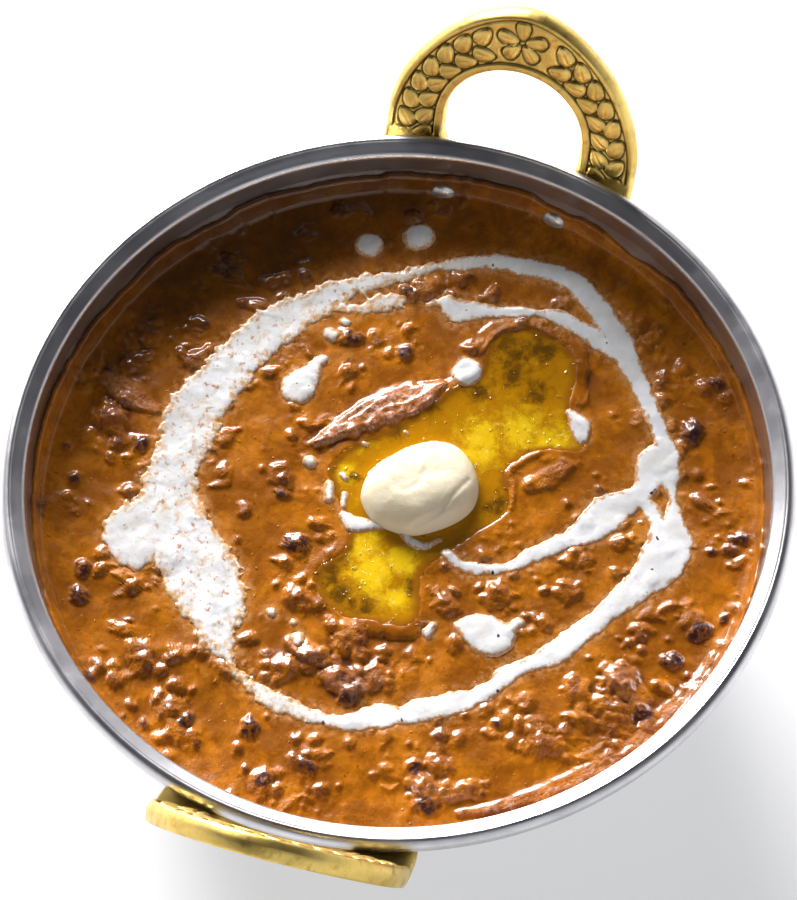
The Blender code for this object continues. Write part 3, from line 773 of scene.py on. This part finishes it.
def blots(places):
    """Soft blots at (x, y, reach) places, 1 in their middle."""
    field = np.zeros_like(GX)
    for x, y, reach in places:
        cells = window(x, y, reach * 2.2)
        gap = np.hypot(GX[cells] - x, GY[cells] - y) / reach
        field[cells] = np.maximum(field[cells], np.exp(-1.2 * gap ** 2))
    return field


def butter_material():
    """Melted butter: yellow where it is light, amber where it is dark, with crumbs and milk."""
    paint = Paint("melted_butter", {"Roughness": 0.04, "IOR": 1.46, "Coat Weight": 0.4,
                                    "Coat Roughness": 0.02})
    light, dark = paint.field("light"), paint.field("dark")
    cloud = paint.remap(paint.noise(3.6, 6, 0.75, 0.2), 0.3, 0.7, -0.35, 0.35)
    light_share = paint.remap(paint.math("ADD", light, cloud), 0.05, 1.0)
    paint.colour = paint.mix(light_share, (0.46, 0.195, 0.002), (0.88, 0.56, 0.009))
    streaks = paint.remap(paint.noise(2.4, 5, 0.7, 0.2), 0.3, 0.7, -0.40, 0.40)
    paint.over(paint.remap(paint.math("ADD", dark, streaks), 0.15, 1.20), (0.130, 0.055, 0.003))
    paint.over(paint.spots(0.64, 0.72, 1.1, 3, 0.6), (0.30, 0.090, 0.004), 0.6)
    paint.over(paint.times(paint.spots(0.58, 0.72, 1.3, 4, 0.75), light), (0.93, 0.80, 0.22))
    paint.over(paint.field("shore"), (0.30, 0.110, 0.004))
    bubbles = paint.bump(paint.spots(0.68, 0.78, 1.4, 1, 0.5), 0.15)
    return paint.finish(paint.bump(paint.noise(6, 3, 0.5), 0.25, bubbles))


def make_pool():
    """Melted butter lying in its basin in the curry."""
    depth = 1.4
    fields = {"shore": 1 - ease(0.0, 1.6, POOL), "light": blots(POOL_LIGHT), "dark": blots(POOL_DARK)}
    piece = layer_body("melted_butter_pool", np.where(POOL > -1.3, depth, -1.0), 0.4, butter_material(),
                       fields, pool_top() - depth, floor=0.0)
    place_piece(piece, "melted_butter", "melted_butter")


def pat_field():
    """Distance outside the pat's outline in mm, negative under it."""
    return -outline_field(PAT_EDGE)


def pat_top(x, y, share):
    """Height of the pat's top; share is 0 in the middle and 1 at the edge."""
    height = PAT_RISE * np.clip(1 - share ** 3.6, 0, 1) ** 0.55
    inner = ease(1.0, 0.75, share)
    height -= 0.5 * inner * ease(-4, 10, x * 0.3 - y) * ease(2, 14, x)
    height += inner * (0.22 * noise(x, y, 7.0, 62) + 0.06 * noise(x + 0.5 * y, (y - x) * 0.5, 2.6, 63))
    for path, depth, reach in PAT_CREASES:
        gap, side = np.full(np.shape(x), 99.0), np.zeros(np.shape(x))
        line = smooth_path(path, 5)
        for start, end in zip(line, line[1:]):
            _, away, cross = from_segment(x, y, start, end)
            side = np.where(away < gap, np.sign(cross), side)
            gap = np.minimum(gap, away)
        height -= depth * np.exp(-(gap / reach) ** 2)
        height += (side < 0) * 0.35 * depth * np.exp(-((gap - 1.2) / 0.9) ** 2)
    return height


# creases in the pat: their line, depth and half width
PAT_CREASES = ((((-5, -4.5), (-1, -8.8), (3, -10.6), (8.5, -12.8)), 0.26, 0.5),
               (((3, 2.5), (1.5, -0.5), (3.5, -3), (7, -3.6)), 0.10, 0.9))


def pat_material():
    paint = Paint("butter", {"Roughness": 0.36, "IOR": 1.46, "Subsurface Weight": 0.4,
                             "Subsurface Radius": (1.0, 0.75, 0.4), "Subsurface Scale": 0.0025,
                             "Coat Weight": 0.2, "Coat Roughness": 0.2})
    paint.colour = paint.mix(paint.noise(7, 3), (0.92, 0.84, 0.64), (0.87, 0.77, 0.53))
    paint.over(paint.field("edge"), (0.74, 0.55, 0.16))
    return paint.finish(paint.bump(paint.noise(2.2, 4, 0.6), 0.18))


def make_pat():
    """Soft pat of butter: rounded sides, a fold along one edge and a dent on top."""
    rings, columns, bottom = 64, 160, -1.25
    path = np.array(smooth_path(PAT_EDGE, 12, True)) - PAT_CENTRE
    angles = np.arctan2(path[:, 1], path[:, 0]) % (2 * pi)
    order = np.argsort(angles)
    turn = np.linspace(0, 2 * pi, columns, endpoint=False)
    reach = np.interp(turn, angles[order], np.hypot(*path.T)[order], period=2 * pi)
    share = np.sin(np.linspace(0, pi / 2, rings))[1:, None]
    scale = np.concatenate([share, [[1.012], [0.99], [0.9], [0.45]]])
    x, y = (centre + across for centre, across in zip(PAT_CENTRE, polar(scale * reach, turn)))
    top = pat_top(x[:rings - 1], y[:rings - 1], share + 0 * turn) - 0.3 * share
    under = np.array([[-0.5], [-0.9], [-1.2], [bottom]]) + 0 * turn
    points = stacked(x, y, LEVEL + np.concatenate([top, under])).reshape(-1, 3)
    summit = LEVEL + float(pat_top(*(np.array(c) for c in (*PAT_CENTRE, 0.0))))
    points = np.concatenate([points, [[*PAT_CENTRE, summit], [*PAT_CENTRE, LEVEL + bottom]]])
    fields = {"edge": ease(0.6, -0.6, points[:, 2] - LEVEL)}
    faces = tube_faces(len(scale), columns)
    place_piece(add_mesh("butter_pat_soft", points, faces, pat_material(), fields), "butter", "butter_pat")


# Steel bowl ---

LIP = (
    (77.2, 50.5), (77.25, 53.5), (77.3, 55.4), (77.42, 56.2), (77.8, 56.75), (78.5, 57.1), (79.3, 57.48),
    (80.1, 57.82), (80.45, 57.86), (80.75, 57.98), (81.3, 57.86), (81.9, 57.45), (82.35, 56.7),
    (82.5, 55.8), (82.3, 54.9), (81.7, 54.2), (80.8, 53.75), (79.9, 53.55), (79.3, 53.2))


def hammer(points):
    """Depth of the nearest hammer mark at each point of the outer wall."""
    rng = np.random.default_rng(90)
    depth, reach, block = 0.42, 4.0, 4000
    centres = []
    for t in np.arange(0.03, 0.99, 0.078):
        count = int(2 * pi * wall_point(t)[0] / 7.4)
        for k in range(count):
            angle = 2 * pi * (k + rng.uniform(-0.3, 0.3)) / count
            radius, height = wall_point(min(max(t + rng.uniform(-0.022, 0.022), 0), 1))
            centres.append((*polar(radius, angle), height))
    nearest = [((points[start:start + block, None] - np.array(centres)) ** 2).sum(-1).min(axis=1)
               for start in range(0, len(points), block)]
    return depth * (1 - np.minimum(np.concatenate(nearest) / reach ** 2, 1))


def steel_material():
    """Brushed steel with worn patches; the hammered outside is duller in colour and smoother."""
    paint = Paint("steel", {"Metallic": 1.0, "Roughness": 0.36})
    outside, wear = paint.field("outside"), paint.noise(14, 4, 0.6)
    worn = paint.remap(wear, 0.35, 0.7, 0.28, 0.42)
    paint.set("Roughness", paint.math("SUBTRACT", worn, paint.times(outside, 0.10)))
    patches = paint.remap(wear, 0.3, 0.7)
    paint.colour = paint.mix(patches, (0.72, 0.71, 0.72), (0.58, 0.57, 0.58))
    paint.over(outside, paint.mix(patches, (0.46, 0.455, 0.465), (0.33, 0.33, 0.34)))
    brushed = paint.noise(1.2, 4, 0.6, vector=paint.stretch((1.0, 1.0, 14.0)))
    return paint.finish(paint.bump(brushed, 0.02))


def make_bowl():
    """Turned bowl: hammered outside, rolled lip, smooth inside."""
    steps = 512
    outer = [wall_point(t) for t in np.linspace(0, 0.955, 56)]
    inner = [wall_point(t, -WALL) for t in np.linspace(0.90, 0.0, 30)]
    base, inside_base = [(12.0, 0.0), (25.0, 0.0)], [(INNER_WALL[0, 0] * s, WALL) for s in (0.66, 0.33)]
    profile = base + outer + smooth_path(LIP[::-1], 3) + inner + inside_base
    radius, height = (np.array(c)[:, None] for c in zip(*profile))
    angle = np.arange(steps)[None] * 2 * pi / steps
    points = stacked(*polar(radius, angle), height + 0 * angle)
    hammered = slice(len(base), len(base) + len(outer))
    marks = hammer(points[hammered].reshape(-1, 3)).reshape(len(outer), steps)
    fade = ease(0, 6, np.arange(len(outer)))[:, None]
    inward = stacked(np.cos(angle), np.sin(angle), 0 * angle)
    points[hammered] -= inward * (marks * fade)[..., None]
    outside = np.zeros(points.shape[:2])
    outside[hammered] = 1
    points = np.concatenate([points.reshape(-1, 3), [[0, 0, 0], [0, 0, WALL]]])
    piece = add_mesh("steel_bowl", points, tube_faces(len(profile), steps), steel_material(),
                     {"outside": np.append(outside, [0, 0])})
    place_piece(piece, "steel", "bowl")


# Brass handles ---

def loop_points(shape, turn):
    """Points of a D-shaped outline: an arch above its widest place, squarer below it."""
    half_width, widest, rise, drop, arch_power, foot_power = shape
    c, s = np.cos(turn), np.sin(turn)
    power = np.where(s >= 0, arch_power, foot_power)
    height = np.where(s >= 0, rise, drop)
    across = np.sign(c) * np.abs(c) ** (2 / power) * half_width
    return across, widest + np.sign(s) * np.abs(s) ** (2 / power) * height


def handle_place(across, up, depth):
    """Points of the plate; depth is mm behind its front face."""
    c, s = cos(HANDLE_LEAN), sin(HANDLE_LEAN)
    leaning = stacked(HANDLE_FRONT + s * up + c * depth, across, RIM_LEVEL + c * up - s * depth)
    bend = ease(0, PLATE_BEND, -up)[..., None]
    height = RIM_LEVEL + np.minimum(up, 0)
    wall_radius, wall_height = OUTER_WALL.T
    radius = np.interp(height, wall_height, wall_radius)
    slope = np.interp(height, wall_height, np.arctan(np.gradient(wall_radius, wall_height)))
    angle, offset = across / radius, PLATE_GAP + PLATE_THICKNESS * depth / HANDLE_THICKNESS
    reach = radius + offset * np.cos(slope)
    hugging = stacked(*polar(reach, angle), height - offset * np.sin(slope))
    return leaning * (1 - bend) + hugging * bend


OUTER_WALL = np.array([wall_point(t) for t in np.linspace(0, 1, 400)])
FLOWER = (0.4, 28.9)
PETALS = ((0.7, 34.4), (-4.9, 30.3), (-2.8, 24.7), (3.9, 24.4), (6.0, 30.0))
FLOWER_REACH = 7.0                  # leaves start this far from its middle
LINE = 0.22                         # half width of a chased line


def leaf_places():
    """Leaves, two rows up each leg: (across, up, turn)."""
    leaves = []
    turn = np.linspace(-0.25, pi + 0.25, 600)
    outer, inner = (stacked(*loop_points(shape, turn)) for shape in (HANDLE_EDGE, HOLE_EDGE))
    for share, pitch, tilt in ((0.33, 5.0, 0.55), (0.66, 4.6, -0.55)):
        row = outer * (1 - share) + inner * share
        along = np.append(0, np.cumsum(np.hypot(*np.diff(row, axis=0).T)))
        for side, line, gap in ((1, row, along), (-1, row[::-1], along[-1] - along[::-1])):
            for place in np.arange(1.5, along[-1] / 2, pitch):
                x, y = (np.interp(place, gap, line[:, k]) for k in (0, 1))
                ahead_x, ahead_y = (np.interp(place + 0.5, gap, line[:, k]) for k in (0, 1))
                if hypot(x - FLOWER[0], y - FLOWER[1]) > FLOWER_REACH:
                    leaves.append((x, y, atan2(ahead_y - y, ahead_x - x) - side * tilt))
    return leaves


def leaf_relief(u, v):
    """Relief of the chased face in mm, and from 0 to 1 how deep in a groove each place is."""
    dome, groove = np.zeros_like(u), np.zeros_like(u)
    fx, fy = FLOWER
    leaves = [(fx + 0.56 * (x - fx), fy + 0.56 * (y - fy), atan2(fy - y, fx - x), 2.35, 1.5)
              for x, y in PETALS]
    leaves += [(*leaf, 2.45, 1.75) for leaf in leaf_places()]
    for x, y, turn, half_a, half_b in leaves:
        c, s = cos(turn), sin(turn)
        a, b = (u - x) * c + (v - y) * s, (v - y) * c - (u - x) * s
        near = (np.abs(a) < 4) & (np.abs(b) < 4)
        a, b = a[near], b[near]
        wide = half_b * (1 - 0.28 * a / half_a)
        q = (np.abs(a / half_a) ** 2.3 + np.abs(b / wide) ** 2) ** 0.5
        vein = 0.08 * np.exp(-(b / LINE) ** 2) * (q < 0.7)
        dome[near] = np.maximum(dome[near], 0.36 * np.clip(1 - q ** 2.4, 0, 1) ** 0.6 - vein)
        groove[near] = np.maximum(groove[near], np.exp(-((q - 1.08) * half_b / LINE) ** 2))
    return dome, groove * (1 - ease(0.0, 0.12, dome))


def handle_section(width, wear):
    """Section of the plate, from the front over the back to the front: (inset, depth)."""
    back, back_steps, front_steps = HANDLE_THICKNESS, 9, 50
    edge = ((0.55, 0.0), (0.25, 0.10), (0.05, 0.40), (-0.28, 1.2), (-0.42, 1.75), (-0.30, 2.6), (0.0, 3.7),
            (0.2, 4.15), (0.6, back))
    hole = ((0.6, back), (0.2, 4.15), (0.05, 3.8), (0.0, 2.0), (0.05, 0.45), (0.25, 0.10), (0.55, 0.0))
    section = [(inset + wear, depth) for inset, depth in edge]
    section += [(0.6 + (width - 1.2) * k / back_steps, back) for k in range(1, back_steps)]
    section += [(width - inset, depth) for inset, depth in hole]
    return section + [(width - 0.55 - (width - 1.1) * k / front_steps, 0.0) for k in range(1, front_steps)]


def make_handle(name, side, material, node):
    """D-shaped brass plate with a raised border and chased leaves on its inner face."""
    steps = 760
    dense = np.linspace(0, 2 * pi, 8001)
    middle = (np.stack(loop_points(HANDLE_EDGE, dense)) + np.stack(loop_points(HOLE_EDGE, dense))) / 2
    along = np.append(0, np.cumsum(np.hypot(*np.diff(middle, axis=1))))
    turn = np.interp(np.arange(steps) / steps * along[-1], along, dense)
    outer, hole = (stacked(*loop_points(shape, turn)) for shape in (HANDLE_EDGE, HOLE_EDGE))
    width = np.hypot(*(outer - hole).T)
    inward = (hole - outer) / width[:, None]
    wear = 0.22 * ease(2.0, 8.0, outer[:, 1]) * noise(*outer.T, 11.0, 71)
    points, patina = [], []
    for inset, depth in handle_section(width, wear):
        across, up = (outer + inward * np.reshape(inset, (-1, 1))).T
        relief, groove = np.zeros(steps), np.zeros(steps)
        if depth == 0.0:
            shown = ease(-1.0, 1.0, up)
            field = ease(1.25, 1.6, inset) * ease(1.85, 2.2, width - inset)
            dome, lines = leaf_relief(across, up)
            border = np.exp(-((inset - 1.5) / LINE) ** 2) + np.exp(-((width - inset - 2.15) / LINE) ** 2)
            groove = shown * np.clip(lines * field + border, 0, 1)
            relief = shown * (0.20 * (1 - field) + (dome - 0.02) * field - 0.42 * groove)
        points.append(handle_place(across, up, depth - relief))
        patina.append(groove)
    rows = len(points)
    first = np.arange(steps)
    faces = grid_faces(rows, steps, wrap=True) + band_faces(first + (rows - 1) * steps, first)
    points = np.concatenate(points) * (side, side, 1)
    place_piece(add_mesh(name, points, faces, material, {"groove": np.stack(patina)}), "brass", node)


def brass_material():
    paint = Paint("brass", {"Metallic": 1.0, "Roughness": 0.3})
    wear = paint.spots(0.35, 0.7, 9, 4, 0.6)
    paint.colour = paint.mix(wear, (0.85, 0.62, 0.18), (0.70, 0.49, 0.125))
    paint.over(paint.spots(0.5, 0.75, 2.5, 4, 0.6), (0.52, 0.32, 0.075))
    paint.over(paint.remap(paint.field("groove"), 0.15, 0.9), (0.11, 0.075, 0.020))
    paint.set("Roughness", paint.remap(wear, 0.0, 1.0, 0.33, 0.46))
    scratches = paint.noise(0.8, 4, 0.65)
    return paint.finish(paint.bump(scratches, 0.04, paint.bump(paint.noise(6, 2), 0.10)))


def rivet_mesh():
    """Points and faces of a rivet that lies along Z, with a domed head at each end."""
    steps, edge, tip = 32, 0.1, 0.03
    dome = [(HEAD_RADIUS * cos(a), HEAD_HEIGHT * 0.92 * sin(a) ** 0.8)
            for a in np.linspace(0, pi / 2, 9)[:-1]]
    out, back = PLATE_THICKNESS + HEAD_SEAT - 0.15, -(WALL + HEAD_SEAT) + 0.45
    profile = [(r, back - h) for r, h in dome[::-1]] + [(HEAD_RADIUS, back + edge)]
    profile += [(SHANK_RADIUS, back + edge), (SHANK_RADIUS, out - edge), (HEAD_RADIUS, out - edge)]
    profile += [(r, out + h) for r, h in dome]
    turn = np.arange(steps) / steps * 2 * pi
    points = [(*polar(r, a), h) for r, h in profile for a in turn]
    points += [(0, 0, profile[0][1] - tip), (0, 0, profile[-1][1] + tip)]
    return points, tube_faces(len(profile), steps)


def make_rivets():
    """Steel rivets through the wall and the handles' plates."""
    paint = Paint("rivet_steel", {"Metallic": 1.0, "Roughness": 0.3})
    paint.colour = paint.mix(paint.noise(1.5, 3), (0.66, 0.65, 0.63), (0.48, 0.47, 0.46))
    material = paint.finish(paint.bump(paint.noise(1.0, 3), 0.06))
    local, faces = rivet_mesh()
    height = RIM_LEVEL - RIVET_DROP
    radius, below = (float(np.interp(z, OUTER_WALL[:, 1], OUTER_WALL[:, 0])) for z in (height, height - 1))
    tilt = Matrix.Rotation(pi / 2 + atan2(radius - below, 1), 4, "Y")
    for word, base in (("right", 0.0), ("left", pi)):
        for letter, sign in (("a", 1), ("b", -1)):
            turn = Matrix.Rotation(base + sign * RIVET_ANGLE, 4, "Z")
            place = turn @ Matrix.Translation((radius, 0, height)) @ tilt
            points = np.array([place @ Vector(p) for p in local])
            piece = add_mesh("rivet_domed_%s_%s" % (word, letter), points, faces, material)
            place_piece(piece, "rivet_steel", "rivet_%s_%s" % (word, letter))


# Stage ---

CAMERA_TURN, CAMERA_RISE, CAMERA_ROLL = (radians(a) for a in (-71.35, 63.37, -2.18))
CAMERA_DISTANCE = 1.3774            # metres
CAMERA_LENS, CAMERA_SENSOR = 265.9, 36
LOOK_AT = (0.5 / 4.825, 35.3 / 4.825)   # mm to the picture's right and up from the rim's middle


def camera_axes():
    """The picture's right and up, and the direction back to the camera."""
    a, e = CAMERA_TURN, CAMERA_RISE
    back = Vector((sin(a) * cos(e), -cos(a) * cos(e), sin(e)))
    level = Vector((cos(a), sin(a), 0))
    up = back.cross(level)
    c, s = cos(CAMERA_ROLL), sin(CAMERA_ROLL)
    return level * c + up * s, up * c - level * s, back


def make_camera():
    right, up, back = camera_axes()
    target = Vector((0, 0, RIM_LEVEL * MM)) + (right * LOOK_AT[0] + up * LOOK_AT[1]) * MM
    camera = bpy.data.objects.new("camera", bpy.data.cameras.new("camera"))
    camera.data.lens, camera.data.sensor_width = CAMERA_LENS, CAMERA_SENSOR
    turn = Matrix((right, up, back)).transposed().to_4x4()
    camera.matrix_world = Matrix.Translation(target + back * CAMERA_DISTANCE) @ turn
    bpy.context.scene.collection.objects.link(camera)
    bpy.context.scene.camera = camera


def make_light(name, side, rise, distance, width, height, power, colour):
    """Soft box aimed at the food; side is degrees to the right of straight behind it."""
    rise = radians(rise)
    direction = Vector((*polar(cos(rise), CAMERA_TURN + radians(90 - side)), sin(rise)))
    light = bpy.data.lights.new(name, "AREA")
    light.shape = "RECTANGLE"
    light.size, light.size_y = width, height
    light.energy, light.color = power, colour
    item = bpy.data.objects.new(name, light)
    item.location = Vector((0, 0, 0.05)) + direction * distance
    item.rotation_euler = direction.to_track_quat("Z", "Y").to_euler()
    bpy.context.scene.collection.objects.link(item)


def make_world():
    """Light from the sky: pale near the horizon, dark above."""
    world = bpy.data.worlds.new("studio")
    bpy.context.scene.world = world
    world.use_nodes = True
    nodes, links = world.node_tree.nodes, world.node_tree.links
    place, split, ramp = (nodes.new("ShaderNode" + kind) for kind in ("TexCoord", "SeparateXYZ", "ValToRGB"))
    links.new(place.outputs["Generated"], split.inputs[0])
    links.new(split.outputs["Z"], ramp.inputs["Fac"])
    links.new(ramp.outputs["Color"], nodes["Background"].inputs["Color"])
    stops = ramp.color_ramp.elements
    stops[0].color, stops[1].color = (0.95, 0.95, 0.97, 1), (0.03, 0.03, 0.035, 1)
    stops.new(0.25).color = 0.65, 0.67, 0.72, 1
    stops.new(0.6).color = 0.05, 0.05, 0.06, 1


def make_floor():
    """Plain pale floor, bright enough of its own to look white."""
    paint = Paint("pale_floor", {"Roughness": 0.9, "Emission Color": (1, 1, 1, 1), "Emission Strength": 0.42})
    paint.set("Base Color", paint.mix(paint.noise(300, 2), (0.73, 0.73, 0.73), (0.76, 0.76, 0.76)))
    size, drop = 4000, 0.2
    corners = [(-size, -size, 0), (size, -size, 0), (size, size, 0), (-size, size, 0)]
    floor = add_mesh("floor", corners, [[0, 1, 2, 3]], paint.material)
    floor.location.z = -drop * MM


def main():
    bpy.context.scene.view_settings.view_transform = "Standard"
    make_bowl()
    brass = brass_material()
    make_handle("brass_handle_right", 1, brass, "handle_right")
    make_handle("brass_handle_left", -1, brass, "handle_left")
    make_rivets()
    make_curry()
    make_cream()
    make_pool()
    make_pat()
    make_camera()
    make_world()
    make_floor()
    make_light("window", -16, 21, 1.6, 1.0, 0.75, 80, (1.0, 0.98, 1.0))
    make_light("front_fill", 160, 40, 1.6, 1.2, 1.2, 3, (0.9, 0.95, 1.0))


main()
